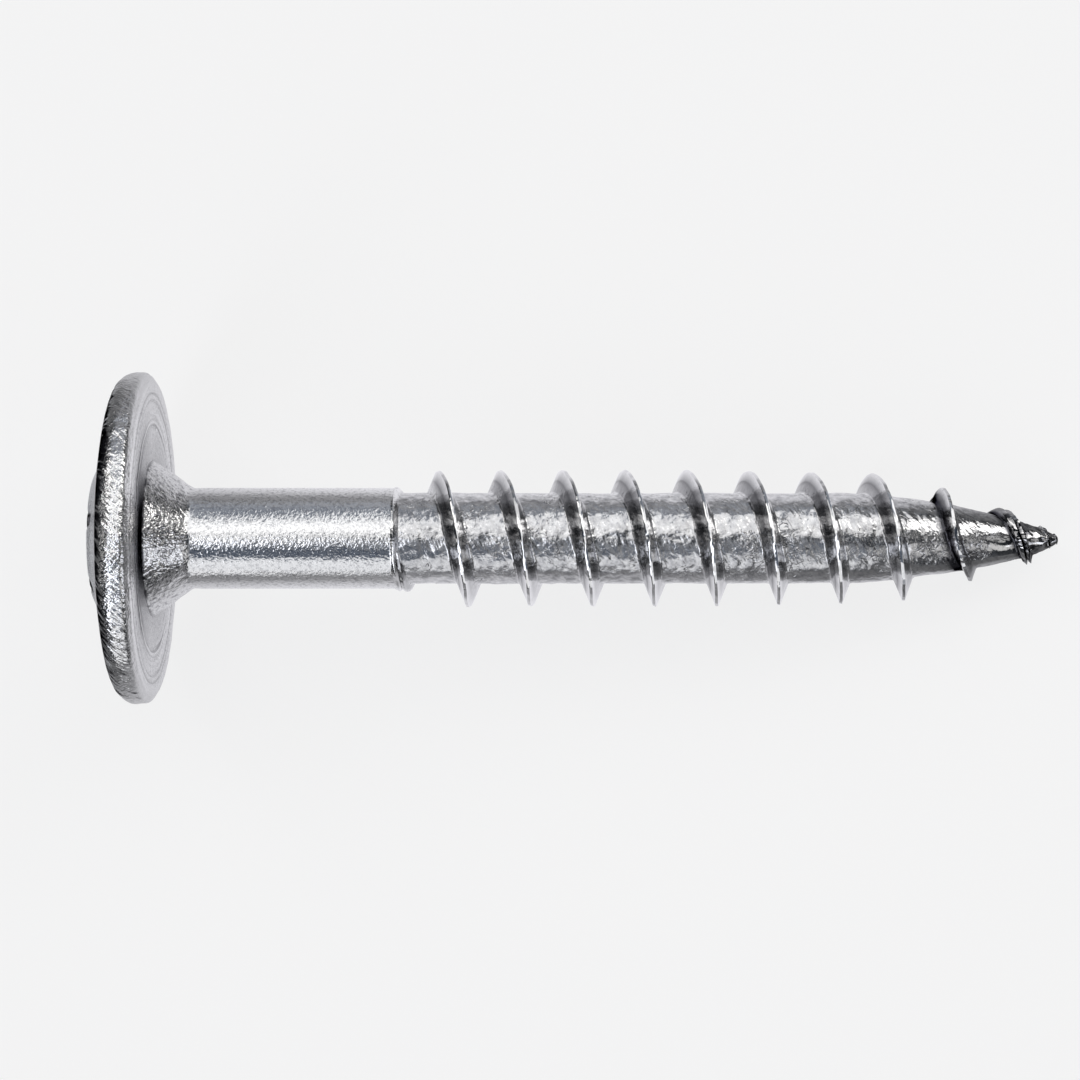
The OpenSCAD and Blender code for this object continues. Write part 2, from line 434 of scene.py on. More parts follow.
def grooves(r, rows):
    """Depth of rings at a radius."""
    return sum(depth * hump(r, place * MM, width * MM) for place, width, depth in rows)


def add_seat(skin, turn, flat_r, neck_r, surface):
    """Seat with its turning rings. The deepest one is shallow on the side away from the floor."""
    facing = 0.3 + 0.7 * share(np.cos(turn), -0.3, 0.3)
    for r in np.linspace(flat_r, neck_r + 0.03 * MM, 62):
        groove = 0.15 * math.sin(r / (0.045 * MM)) + 0.2 * math.sin(r / (0.093 * MM))
        groove = groove + 0.4 * hump(r, neck_r, 0.07 * MM)
        groove = groove + grooves(r, SEAT_GROOVES) + facing * grooves(r, DEEP_GROOVE)
        uneven = 0.25 * lumps(round_points(r, turn, 0), 0.8 * MM, 21) - 0.3
        rise = uneven - groove * share(r, flat_r, flat_r - 0.1 * MM)
        skin.add_ring(r, turn, surface.ring_depth * rise)


def add_shank(skin, turn, shank, surface, end_z):
    """Dented neck cone, its fillet and the smooth shank."""
    neck_r, shank_r = shank.neck_d / 2, shank.shank_d / 2
    lean = math.atan2(shank.neck_h, neck_r - shank_r)
    fillet_z = shank.neck_h + shank.neck_fillet * math.tan((math.pi / 2 - lean) / 2)
    bend = arc((shank_r + shank.neck_fillet, fillet_z), shank.neck_fillet, 1.5 * math.pi - lean, math.pi, 8)
    body = np.vstack((run((neck_r, 0), bend[0], 22), bend, run(bend[-1], (shank_r, end_z), 34)[1:]))
    for (r, z), (nr, nz) in zip(body, lathe_normals(body)):
        rough = 0.12 + 0.7 * (1 - share(z, shank.neck_h, shank.neck_h + 0.4 * MM))
        points = round_points(r, turn, z)
        dent = 0.5 * lumps(points, 0.28 * MM, 31) + 0.6 * lumps(points, 0.6 * MM, 32)
        depth = surface.hammer_depth * dent * rough * ease(share(z, 0, 0.3 * MM))
        skin.add_ring(r + nr * depth, turn, z + nz * depth)


def add_collar(skin, turn, shank, end_z, inner_r):
    """The shank's end, which wanders round the screw. Its lip stands highest on one side."""
    shank_r = shank.shank_d / 2
    wander = shank.collar_wave * (0.3 + 0.95 * np.cos(turn) - 0.45 * np.sin(turn))
    wander = wander + 0.05 * MM * streaks(turn, 0 * turn, 18, 1, 0, 41)
    lip = shank.collar_lip * (0.3 + 0.9 * np.maximum(0, -np.sin(turn)) ** 2)
    lip = lip * (1 + 0.5 * streaks(turn, 0 * turn, 26, 1, 0, 42))
    for t in np.linspace(0.1, 1, 9):
        z = end_z + (shank.shank_l - end_z + wander) * t
        skin.add_ring(shank_r + lip * ease(t) ** 2, turn, z)
    top = shank.shank_l + wander
    for t in (0.12, 0.35, 0.7, 1):
        drop = (shank_r + lip) * (1 - t) + inner_r * t
        skin.add_ring(drop, turn, top + shank.shoulder_h * t**0.8)
    skin.add_ring(inner_r / 2, turn, top + shank.shoulder_h)
    skin.cap((0, 0, shank.shank_l + shank.shoulder_h))


def blank_object(head, shank, thread, surface):
    """The head, neck and shank in one closed skin that ends inside the threaded core."""
    skin = Skin()
    turn = angles(HEAD_STEPS)
    crown_z = head.rim_h + (head.head_d - head.crown_d) / 2 * math.tan(head.flange_slope)
    rim_x = head.head_d / 2 - head.rim_round
    rim_z = head.rim_round * math.tan(math.pi / 4 - head.flange_slope / 2) - head.rim_h
    rim_arc = arc((rim_x, rim_z), head.rim_round, head.flange_slope - math.pi / 2, 0, 18)
    add_recess(skin, head, turn, crown_z + head.crown_h)
    add_crown(skin, head, turn, crown_z, rim_arc[0])
    flat_r = add_rim(skin, head, rim_arc, surface)
    add_seat(skin, turn, flat_r, shank.neck_d / 2, surface)
    end_z = shank.shank_l - 1.5 * shank.collar_wave
    add_shank(skin, turn[::2], shank, surface, end_z)
    add_collar(skin, turn[::2], shank, end_z, thread.core_d / 2 - thread.foot)
    return skin.to_object("blank")


# Threaded core and point


class Thread:
    """The rolled thread: how thick its core is, how high its crest is, and where it runs."""

    # The first turn lies inside the shank, and the last ones close up towards the point
    inside_turns = 1.15
    close_l = 2.6 * MM
    # How deep in the shank the crest starts to rise
    buried = 0.4 * MM
    # How soon the core narrows, how blunt it ends, and how fast the crest fades
    point_start, point_end, fade_power = 1.5, 0.75, 2
    # Distances from the sharp end: where turns are late, where one is pressed back and how
    # far along, and where the tail ends
    late_from, late_to = 7.5 * MM, 5 * MM
    back_l, back_reach = 4.95 * MM, 0.5 * MM
    tail_end_from, tail_end_to = 1.5 * MM, 0.9 * MM
    # Length of the chip, and share of the crest that it takes away
    chip_reach, chip_share = 1 * MM, 0.8

    def __init__(self, shank, thread):
        self.size = thread
        self.shank_l = shank.shank_l
        self.sharp_z = thread.screw_l + thread.tip_flat
        self.point_z = self.sharp_z - thread.point_l
        self.tail_z = self.sharp_z - thread.tail_l
        self.strip_z = shank.shank_l - self.inside_turns * thread.pitch
        self.close_turn = (self.sharp_z - self.close_l - self.strip_z) / thread.pitch

    def core(self, z):
        """Radius of the core: full, then a blunt ogive."""
        way = np.clip((z - self.point_z) / self.size.point_l, 0, 1)
        return self.size.core_d / 2 * (1 - way**self.point_start) ** self.point_end

    def tail(self, z):
        """Share by which the crest has split into the two crests of the tail."""
        return ease(share(z, self.tail_z - 0.9 * MM, self.tail_z))

    def ridge(self, z):
        """Height of the crest above the core."""
        size, to_point = self.size, self.sharp_z - z
        crest = size.thread_d / 2 - size.crest_loss * share(to_point, size.loss_l, size.fade_l)
        rise_z = self.shank_l - self.buried
        high = (crest - self.core(z)) * share(z, rise_z, rise_z + size.rise_l)
        high = high * share(to_point, 0, size.fade_l) ** self.fade_power
        chipped = ease(share(to_point, size.chip_l - 0.12 * MM, size.chip_l + 0.25 * MM))
        chip_start = size.chip_l + self.chip_reach
        chipped = chipped * ease(share(to_point, chip_start + 0.1 * MM, chip_start - 0.1 * MM))
        high = high * (1 - self.chip_share * chipped)
        tail = size.tail_h * self.tail(z) * share(to_point, self.tail_end_to, self.tail_end_from)
        return np.maximum(high * (1 - self.tail(z)), tail)

    def height(self, turn):
        """Height after a number of turns. The last turns close up towards the point."""
        straight = self.strip_z + self.size.pitch * turn
        beyond = (turn - self.close_turn) * self.size.pitch
        closing = self.sharp_z - self.close_l * np.exp(-beyond / self.close_l)
        return np.where(turn <= self.close_turn, straight, closing)

    def stray(self, z, crest_z, angle, radius):
        """How far the rolled thread lies beyond an even run. The side away from the floor strays
        most in the first turns and at the crest, and the last turns are all late."""
        size = self.size
        upper = ease(np.clip(-np.cos(angle), 0, 1))
        reach = share(z, self.sharp_z - 4 * MM, self.shank_l + 5 * MM)
        drift = size.drift * (0.15 * (reach > 0) + 0.85 * reach) * upper * radius / (size.thread_d / 2)
        late = ease(share(crest_z, self.sharp_z - self.late_from, self.sharp_z - self.late_to))
        late = late * share(z, self.sharp_z, self.sharp_z - 1.2 * MM)
        back = hump(crest_z, self.sharp_z - self.back_l, self.back_reach) * upper
        return drift + size.late * late - size.set_back * back

    def angle(self, turn):
        """Angle round the screw of the crest after a number of turns."""
        return self.size.thread_turn + math.tau * (turn - (self.shank_l - self.strip_z) / self.size.pitch)

    def section(self, ridge, tail):
        """Section of one turn: distances from the crest along the screw, heights above the
        core, and how much each point belongs to the crest."""
        size = self.size
        side = size.flank_angle / 2
        top = size.crest_w / 2 + size.tail_w / 2 * tail
        base = top + ridge * math.tan(side)
        fillet = np.maximum(size.foot * np.minimum(1, ridge / size.foot / 2), 0.02 * MM)
        end = np.full_like(ridge, -size.pitch / 2)
        zero = np.zeros_like(ridge)
        bend = fillet / math.tan((math.pi / 2 - side) / 2)
        rows = [(end, zero, zero)]
        for t in (0.25, 0.5, 0.75, 1):
            rows.append((end + (-base - fillet - end) * t, zero, zero))
        for a in np.linspace(0, math.pi / 2 - side, 5)[1:]:
            rows.append((-base - fillet + bend * np.sin(a), bend * (1 - np.cos(a)), zero))
        left = -base + fillet * math.sin(side)
        low = fillet * math.cos(side)
        rows.append((left + (-top - left) * 0.5, low + (ridge - low) * 0.5, zero))
        rows.append((-top, ridge * 0.994, zero + 0.7))
        rows.append((-top + size.crest_w * (0.3 + tail), ridge, zero + 1))
        middle = (zero, ridge - 0.7 * size.tail_h * tail, 1 - 0.6 * tail)
        mirrored = [(-x, y, crest) for x, y, crest in rows[:0:-1]]
        x, y, crest = (np.stack(values) for values in zip(*rows, middle, *mirrored))
        lean = np.tan(size.crest_lean + size.tail_lean * tail)
        for face in (slice(len(rows) - 2, len(rows)), slice(len(rows) + 1, len(rows) + 3)):
            y[face] += lean * (x[face] - x[face].mean(0) * tail)
        return x, y, crest


def core_object(shank, size, surface):
    """The threaded core and the point: a strip that winds round the axis, whose last row in
    one turn is the first row of the next turn."""
    thread = Thread(shank, size)
    per_turn = 160
    end_gap = 0.12 * MM
    last_turn = thread.close_turn + math.log(thread.close_l / end_gap) * thread.close_l / size.pitch
    steps = math.ceil((last_turn - 1) * per_turn)
    turn = np.arange(steps + per_turn + 1) / per_turn + 0.5
    crest_z = thread.height(turn)
    x, y, crest = thread.section(thread.ridge(crest_z), thread.tail(crest_z))
    z = thread.height(turn + x / size.pitch)
    a = np.broadcast_to(thread.angle(turn), x.shape)
    r = thread.core(z) + y
    z = z + thread.stray(z, crest_z, a, r)

    def along_crest(count, seed):
        return grain(np.stack((turn * count, 0 * turn, 0 * turn), -1), seed)

    # Nicks in the crest, dents in the core and pits in the point
    plain = round_points(r, a, z)
    on_point = ease(share(z, thread.point_z, thread.sharp_z))
    scaly = ease(share(z, thread.tail_z + 0.9 * MM, thread.tail_z + 1.6 * MM))
    scaly = scaly * share(z, size.screw_l, size.screw_l - 0.3 * MM)
    nick = 0.6 * along_crest(56, 51) + 0.4 * along_crest(130, 52)
    core_share = np.clip(1 - y / size.foot, 0, 1)
    dent = 0.55 * lumps(plain, 0.35 * MM, 61) + 0.45 * lumps(plain * (1, 1, 0.6), 0.7 * MM, 62)
    pit = np.minimum(lumps(plain, 0.2 * MM, 71), 0.2)
    r = r + surface.crest_nick * nick * crest * (1 - 0.8 * thread.tail(crest_z))
    r = r + surface.hammer_depth * dent * core_share * (1 - 0.3 * on_point) * np.minimum(1, r / (1 * MM))
    r = np.maximum(r + surface.pit_depth * pit * scaly * np.minimum(1, r / (0.6 * MM)), 0.02 * MM)
    z = np.minimum(z + 0.5 * surface.crest_nick * along_crest(40, 53) * crest, size.screw_l - 0.02 * MM)
    points = round_points(r, a, z)
    points[..., 1] -= size.point_bend * ease(share(z, size.screw_l - 6 * MM, size.screw_l - 1 * MM))

    rows = len(points)
    skin = Skin()
    strip = skin.place(points[:, : steps + 1].transpose(1, 0, 2)).reshape(steps + 1, rows)
    tail = skin.place(points[0, steps + 1 :])
    edge = np.concatenate((strip[:, 0], tail))
    wide = np.column_stack((strip, edge[per_turn : per_turn + steps + 1]))
    low, high = wide[:-1], wide[1:]
    # Along the strip the angle grows, and across it the height does
    squares = np.stack((low[:, :-1], high[:, :-1], high[:, 1:], low[:, 1:]), -1)
    skin.faces += squares.reshape(-1, 4).tolist()
    start, end = skin.place((0, 0, thread.strip_z)), skin.place((0, -size.point_bend, size.screw_l))
    first = np.concatenate((edge[: per_turn + 1], strip[0, :0:-1]))
    last = np.concatenate((edge[steps : steps + per_turn + 1], strip[steps, :0:-1]))
    for ring, middle, order in ((first, start[0], -1), (last, end[0], 1)):
        ring = ring[::order]
        skin.faces += [[p, q, middle] for p, q in zip(ring, np.roll(ring, -1))]
    return skin.to_object("threaded_core")


# Material


def feed(tree, socket, value):
    """Sets a socket to a value, or links another socket to it."""
    if isinstance(value, bpy.types.NodeSocket):
        tree.links.new(value, socket)
    else:
        socket.default_value = value


def add_node(tree, kind, **settings):
    """A shader node with its settings. A key that names a socket feeds it."""
    node = tree.nodes.new("ShaderNode" + kind)
    for key, value in settings.items():
        socket = node.inputs.get(key)
        if socket is None:
            setattr(node, key, value)
        else:
            feed(tree, socket, value)
    return node


def add_math(tree, operation, *values):
    """The result of a sum over values and sockets."""
    node = add_node(tree, "Math", operation=operation)
    for socket, value in zip(node.inputs, values):
        feed(tree, socket, value)
    return node.outputs[0]


def add_range(tree, value, start, end, low=0, high=1, curve="LINEAR", clamp=True):
    """Takes a value from the range between start and end to the one between low and high."""
    ends = {"From Min": start, "From Max": end, "To Min": low, "To Max": high}
    node = add_node(tree, "MapRange", interpolation_type=curve, clamp=clamp, Value=value, **ends)
    return node.outputs["Result"]


def add_mix(tree, share_of_second, first, second):
    """A mix of two colours."""
    node = add_node(tree, "Mix", data_type="RGBA", Factor=share_of_second)
    feed(tree, node.inputs[6], first)
    feed(tree, node.inputs[7], second)
    return node.outputs[2]


def add_noise(tree, place, scale, detail, roughness=0.5, distortion=0):
    """Noise with about as many lumps in a metre as its scale."""
    rest = {"Detail": detail, "Roughness": roughness, "Distortion": distortion}
    return add_node(tree, "TexNoise", Vector=place, Scale=scale, **rest).outputs["Fac"]


def slant_marks(tree, flat, slant, width, reach):
    """Noise in streaks of a width and reach that cross the unrolled rim at a slant."""
    turn = (0, 0, math.radians(slant))
    size = (width, reach, 1)
    place = add_node(tree, "Mapping", vector_type="TEXTURE", Vector=flat, Rotation=turn, Scale=size)
    return add_noise(tree, place.outputs["Vector"], 1, 1)


def new_tree(owner):
    """The empty node tree of a material or a world."""
    owner.use_nodes = True
    owner.node_tree.nodes.clear()
    return owner.node_tree


def zinc_material(surface):
    """Bright zinc: wrinkled plating with fine pits, and dark with painted shade in the thread's corners, on
    the seat, the rim and in the recess.
    """
    material = bpy.data.materials.new("bright_zinc")
    tree = new_tree(material)
    place = add_node(tree, "TexCoord").outputs["Object"]
    zones = ("rough_zone", "painted_shade", "rim_zone", "core_zone", "peel_zone", "speckle")
    rough, painted_shade, rim, core, peel, speckle = (
        add_node(tree, "Attribute", attribute_name=zone).outputs["Fac"] for zone in zones
    )
    flat = add_node(tree, "Attribute", attribute_name="unrolled").outputs["Vector"]

    # Wrinkles about 0.1 mm wide, dents about 0.3 mm wide, swells and patches of a few millimetres
    wrinkles = add_noise(tree, place, 6500, 2, 0.6)
    dents = add_noise(tree, place, 3200, 2)
    patches = add_noise(tree, place, 700, 2, 0.6)
    swells = add_noise(tree, place, 1300, 1, distortion=0.5)
    folds = add_noise(tree, place, 2300, 2, 0.6, 0.6)

    # Painted shade darkens the plating in its pits, and the dents of the core have a duller tone
    pits = add_math(tree, "MULTIPLY", add_range(tree, wrinkles, 0.5, 0.66), speckle)
    dull = add_range(tree, dents, 0.35, 0.65, 0.1, 0.6)
    dull_and_pit_shade = add_math(tree, "MULTIPLY_ADD", dull, core, pits)
    plated = add_mix(tree, dull_and_pit_shade, (*surface.zinc, 1), (*surface.shade, 1))

    # The painted shade has a ragged edge on the rim, and where it lies darkest it takes the gleam too
    marks = slant_marks(tree, flat, -42, 0.16 * MM, 0.7 * MM)
    ragged = add_range(tree, marks, 0.3, 0.7, -0.9, 0.9, clamp=False)
    thickest = 0.95
    dark = add_range(tree, add_math(tree, "MULTIPLY_ADD", ragged, rim, painted_shade), 0, thickest, 0, thickest)
    shade_paint = add_mix(tree, dark, plated, (*surface.painted_shade, 1))
    edge_tint = add_range(tree, dark, 0.7, thickest, 1, 0)

    gloss = add_range(tree, patches, 0.3, 0.7, surface.gloss * 0.8, surface.gloss * 1.4)
    satin = add_math(tree, "MULTIPLY_ADD", core, surface.satin, gloss)

    # Folds: the height steps along the outlines of a coarse noise, in some patches only
    step = add_range(tree, folds, 0.47, 0.53, curve="SMOOTHSTEP")
    folded = add_math(tree, "MULTIPLY", add_range(tree, patches, 0.54, 0.6), core)
    net = add_math(tree, "MULTIPLY_ADD", slant_marks(tree, flat, 40, 0.12 * MM, 0.45 * MM), 0.45, marks)
    rolled = slant_marks(tree, flat, 97, 0.22 * MM, 1.6 * MM)
    bumps = (
        (wrinkles, surface.peel, peel),
        (dents, surface.dent, rough),
        (swells, surface.swell, core),
        (step, surface.crinkle, folded),
        (net, surface.die_net, rim),
        (rolled, surface.rolled, core),
    )
    look = {"Base Color": shade_paint, "Roughness": satin, "Specular Tint": edge_tint}
    shader = add_node(tree, "BsdfPrincipled", Metallic=1, **look)
    top = shader
    for height, depth, strength in reversed(bumps):
        bump = add_node(tree, "Bump", Height=height, Distance=depth, Strength=strength)
        feed(tree, top.inputs["Normal"], bump.outputs["Normal"])
        top = bump
    add_node(tree, "OutputMaterial", Surface=shader.outputs[0])
    return material


# Where the painted shade, the pits and the dents lie

# Painted shade in the rings of the seat: radius and width in millimetres, and how dark it is
SEAT_RINGS = (
    (5.02, 0.05, 0.7),
    (5.13, 0.05, -0.25),
    (5.25, 0.04, 0.5),
    (5.42, 0.03, 0.35),
    (5.7, 0.04, 0.15),
    (6.1, 0.05, 0.5),
    (6.4, 0.05, 0.55),
)
# Painted shade in the grooves of the split tail: distance from its middle and width in millimetres
TAIL_GROOVES = ((0, 0.06), (-0.36, 0.09), (0.36, 0.09))


def corner_shade(thread, off, above, z):
    """Painted shade in the corners of the thread, darkest on the head-side flanks and on the last full
    turn's flank, by the distance off the crest along the screw and by the height above the core as a share
    of the crest's."""
    size, ridge = thread.size, thread.ridge(z)
    last_turn = share(z, thread.sharp_z - 7 * MM, thread.sharp_z - 6 * MM) * (off < 0)
    edge = size.crest_w / 2 + ridge * math.tan(size.flank_angle / 2) + 0.35 * MM * last_turn
    shade_paint = share(np.abs(off), edge, edge - 0.06 * MM) * share(above, 0.98, 0.85)
    shade_paint = shade_paint * (z > thread.shank_l) * (ridge > 0.2 * MM)
    # The head-side flanks get more painted shade than the tip-side ones
    head_side = 0.95 - 0.36 * share(above, 0.2, 0.9)
    head_side = np.maximum(head_side, 0.96 * last_turn * share(above, 1, 0.5))
    shade_paint = shade_paint * np.where(off < 0, head_side, 0.56)
    in_tail = thread.tail(z) * share(thread.sharp_z - z, 1 * MM, thread.tail_end_from)
    for place, width in TAIL_GROOVES:
        shade_paint = np.maximum(shade_paint, 0.9 * in_tail * hump(off, place * MM, width * MM))
    return shade_paint


def seat_shade(neck_r, x, radius):
    """Painted shade on the seat: in its rings, near the neck, and on the side away from the floor."""
    shade_paint = 0.02 + 0.15 * hump(radius, neck_r + 0.03 * MM, 0.06 * MM)
    shade_paint = shade_paint + 0.32 * share(radius, 4.8 * MM, neck_r) + 0.18 * share(radius, 5.3 * MM, 4.9 * MM)
    shade_paint = shade_paint + 0.66 * share(-x, 1 * MM, 4.5 * MM) * share(radius, 6.6 * MM, 5.2 * MM)
    return np.maximum(shade_paint + grooves(radius, SEAT_RINGS), 0)


def rim_shade(off_rim, on_rim, turn, y, z):
    """Painted shade where the rim turns to the crown, darker on the side in front of the screw, and a thin
    painted dark line where the rim meets the seat.
    """
    wide = 0.22 * MM * hump(np.cos(turn), -0.85, 0.1) * (y > 0)
    clean = share(z, -1.36 * MM + wide, -1.02 * MM + wide)
    shade_paint = 1.2 - (2.2 - 0.75 * share(-y, 2 * MM, 4 * MM)) * clean
    line = 0.75 * hump(z, -0.3 * MM, 0.035 * MM) * on_rim * share(np.abs(y), 5.5 * MM, 4 * MM)
    return np.where(off_rim > 0.02, shade_paint, 0) + line


def mark_zones(made, head, shank, size):
    """Keeps on each point how rough its zone is and how much painted shade lies there, and on each
    corner of a face its place on the unrolled rim."""
    mesh = made.data
    places = np.zeros(len(mesh.vertices) * 3, np.float32)
    mesh.vertices.foreach_get("co", places)
    points = places.reshape(-1, 3).astype(float)
    x, y, z = points.T
    radius, turn = np.hypot(x, y), np.arctan2(y, x)
    thread = Thread(shank, size)
    neck_r, land_r = shank.neck_d / 2, head.drive_w / 2 + head.land_w
    on_neck = (z > 0.02 * MM) & (z < shank.neck_h) & (radius < neck_r + 0.1 * MM)
    on_rim = (radius > 6.6 * MM) & (z < 0)
    on_seat = (np.abs(z) < 0.1 * MM) & (radius > neck_r)
    on_thread = z > shank.shank_l
    on_shank = (z > shank.neck_h) & ~on_thread
    above = (radius - thread.core(z)) / np.maximum(thread.ridge(z), 0.05 * MM)
    core_zone = on_thread * np.clip(1 - 4 * above, 0, 1)
    rim_zone = ease(share(radius, 6.5 * MM, 6.9 * MM)) * ease(share(z, -0.15 * MM, -0.35 * MM))
    rough = 0.1 + 0.9 * on_neck + 0.2 * on_rim + 0.6 * core_zone
    rough = rough + 0.3 * ease(share(z, thread.tail_z, size.screw_l))
    thread_speckle = 0.15 + 0.35 * share(z, thread.point_z, thread.tail_z)

    # Distance along the screw from the nearest crest at this angle
    even_z = shank.shank_l + size.pitch * (turn - size.thread_turn) / math.tau
    off = z - even_z - thread.stray(z, z, turn, radius)
    off = (off + size.pitch / 2) % size.pitch - size.pitch / 2

    lobe_off = lobe_distance(head, turn) * radius
    # Painted shade in the crown's notches, in the pits of the point and in the recess
    notches = hump(lobe_off, 0, 0.3 * MM) * hump(radius, land_r, 0.4 * MM) * (z < -2 * MM)
    scaly = share(z, thread.tail_z + 0.9 * MM, thread.tail_z + 1.4 * MM)
    pits = scaly * (0.05 + 0.6 * share(lumps(points, 0.2 * MM, 71), 0, -0.25))
    recess = (radius < land_r - 0.03 * MM) * share(z, -2.7 * MM, -2.2 * MM) * (z < 0.05 * MM)
    # Painted shade: in the thread's corners, on the seat, on the rim, in the crown's notches, in the
    # point's pits and in the recess
    shade_paint = corner_shade(thread, off, above, z) + on_seat * seat_shade(neck_r, x, radius)
    shade_paint = shade_paint + rim_shade(rim_zone, on_rim, turn, y, z) + 1.3 * notches + pits + 0.55 * recess
    marks = {
        "rough_zone": np.clip(rough, 0, 1),
        "peel_zone": np.where(on_thread, 0.1 + 0.15 * core_zone, 1 - 0.4 * on_shank),
        "speckle": np.where(on_thread, thread_speckle, 0.5 + 0.3 * on_neck - 0.35 * on_rim),
        "painted_shade": np.where(rim_zone > 0.02, shade_paint, np.clip(shade_paint, 0, 0.95)),
        "rim_zone": rim_zone,
        "core_zone": core_zone,
    }
    for name, values in marks.items():
        kept = mesh.attributes.new(name, "FLOAT", "POINT")
        kept.data.foreach_set("value", np.asarray(values, np.float32))

    # The unrolled rim is cut open on the side that faces the floor
    point = np.zeros(len(mesh.loops), np.int32)
    mesh.loops.foreach_get("vertex_index", point)
    first, count = np.zeros((2, len(mesh.polygons)), np.int32)
    mesh.polygons.foreach_get("loop_start", first)
    mesh.polygons.foreach_get("loop_total", count)
    round_turn = turn[point] % math.tau
    start = np.repeat(round_turn[first], count)
    round_turn += math.tau * np.round((start - round_turn) / math.tau)
    unrolled = np.stack((round_turn * radius.max(), z[point], 0 * round_turn), -1)
    kept = mesh.attributes.new("unrolled", "FLOAT_VECTOR", "CORNER")
    kept.data.foreach_set("vector", unrolled.astype(np.float32).ravel())


def lying_axes():
    """The middle of the seat, the direction to the point and the direction behind the screw."""
    seat = mounts["seat"]
    return Vector(seat["pos_m"]), Vector(seat["axis"]).normalized(), Vector((0, 1, 0))


def lying_place():
    """Moves a screw that stands with its seat at the origin to where it lies."""
    seat, along, side = lying_axes()
    turned = Matrix((side.cross(along), side, along)).transposed().to_4x4()
    return Matrix.Translation(seat) @ turned


# Operators


class SCREW_OT_build(bpy.types.Operator):
    """Build the screw's fine surface in place of its plain solid"""

    bl_idname = "screw.build"
    bl_label = "Screw"

    def execute(self, context):
        scene = context.scene
        head, shank = scene.screw_head, scene.screw_shank
        thread, surface = scene.screw_thread, scene.screw_surface
        blank = blank_object(head, shank, thread, surface)
        core = core_object(shank, thread, surface)
        union = blank.modifiers.new("union", "BOOLEAN")
        union.operation, union.object, union.solver = "UNION", core, "MANIFOLD"
        seen = blank.evaluated_get(context.evaluated_depsgraph_get())
        joined = bpy.data.meshes.new_from_object(seen)
        if len(joined.vertices) < 1000:
            raise RuntimeError("the shank and the threaded core didn't join")
        for part in (blank, core):
            bpy.data.objects.remove(part)
        joined.name = "zinc_screw"
        screw = add_object("zinc_screw", joined)
        joined.shade_smooth()
        joined.set_sharp_from_angle(angle=math.radians(38))
        mark_zones(screw, head, shank, thread)
        joined.materials.clear()
        joined.materials.append(zinc_material(surface))
        joined.transform(lying_place())
        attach(screw, "root")
        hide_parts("screw")
        return {"FINISHED"}


def add_lamp(name, brightness, width, depth, tint):
    """A flat soft light that shines down and isn't seen itself."""
    lamp = bpy.data.lights.new(name, "AREA")
    lamp.shape, lamp.size, lamp.size_y = "RECTANGLE", width, depth
    lamp.energy = brightness * math.pi * width * depth
    lamp.color = tint
    made = add_object(name, lamp)
    made.visible_camera = False
    return made


def softbox(name, brightness, along, across, reach, spread, tint):
    """A soft light 0.6 m from the screw. It stands along degrees towards the point and across
    degrees behind the screw, and covers reach and spread degrees to each side."""
    distance = 0.6
    width, depth = (2 * distance * math.tan(math.radians(half)) for half in (reach, spread))
    made = add_lamp(name, brightness, width, depth, tint)
    along, across = math.radians(along), math.radians(across)
    flat = math.cos(along)
    direction = Vector((math.sin(along), flat * math.sin(across), flat * math.cos(across)))
    made.location = direction * distance
    made.rotation_euler = direction.to_track_quat("Z", "Y").to_euler()


def crown_card(brightness, tint):
    """A small light card on the floor beyond the head, which the crown mirrors."""
    made = add_lamp("crown_card", brightness, 4.5 * MM, 24 * MM, tint)
    made.location = (-29.3 * MM, 0, 0.1 * MM)
    made.rotation_euler = (math.pi, 0, 0)


def dim_ends(tree, along, shift, start, end, middle_level, end_level):
    """A level that falls off towards both ends of the screw, shifted towards the head."""
    way = add_math(tree, "ABSOLUTE", add_math(tree, "ADD", along, shift))
    return add_range(tree, way, start, end, middle_level, end_level, "SMOOTHSTEP")


def floor_material(stage):
    """Pale floor that keeps a soft shadow. The metal mirrors it bright close by and dim beyond."""
    material = bpy.data.materials.new("pale_floor")
    tree = new_tree(material)
    seen = add_node(tree, "LightPath").outputs
    place = add_node(tree, "TexCoord").outputs["Object"]
    apart = add_node(tree, "SeparateXYZ", Vector=place).outputs
    oval = add_node(tree, "VectorMath", operation="MULTIPLY", Vector=place)
    feed(tree, oval.inputs[1], (0.5, 1, 0))
    off = add_node(tree, "VectorMath", operation="LENGTH", Vector=oval.outputs[0]).outputs["Value"]
    near = add_range(tree, off, 0, stage.floor_reach, stage.floor_near, stage.floor_far, "SMOOTHSTEP")
    ends = dim_ends(tree, apart["X"], 4 * MM, stage.floor_end, stage.floor_end + 8 * MM, 1, 0.05)

    # In front of the screw the mirrored floor is darker, most of all near the point
    front = add_range(tree, apart["Y"], -3.2 * MM, -6 * MM)
    loss = add_range(tree, apart["X"], -14 * MM, 18 * MM, 0, 0.93, "SMOOTHSTEP")
    kept = add_math(tree, "SUBTRACT", 1, add_math(tree, "MULTIPLY", front, loss))
    mirrored = seen["Is Glossy Ray"]
    for level in (ends, near, kept):
        mirrored = add_math(tree, "MULTIPLY", mirrored, level)

    # Far from the lamps the floor glows a little more, as pale as the background behind it
    level = add_range(tree, off, 0.1, 1, stage.floor_glow, 0.93, "SMOOTHSTEP")
    strength = add_math(tree, "MULTIPLY_ADD", seen["Is Camera Ray"], level, mirrored)
    tint = add_mix(tree, seen["Is Glossy Ray"], (*stage.floor, 1), (*stage.floor_tint, 1))
    glow = add_node(tree, "Emission", Color=tint, Strength=strength)
    shaded = (*(c * stage.floor_shade for c in stage.floor), 1)
    both = add_node(tree, "AddShader")
    feed(tree, both.inputs[0], glow.outputs[0])
    feed(tree, both.inputs[1], add_node(tree, "BsdfDiffuse", Color=shaded).outputs[0])
    add_node(tree, "OutputMaterial", Surface=both.outputs[0])
    return material


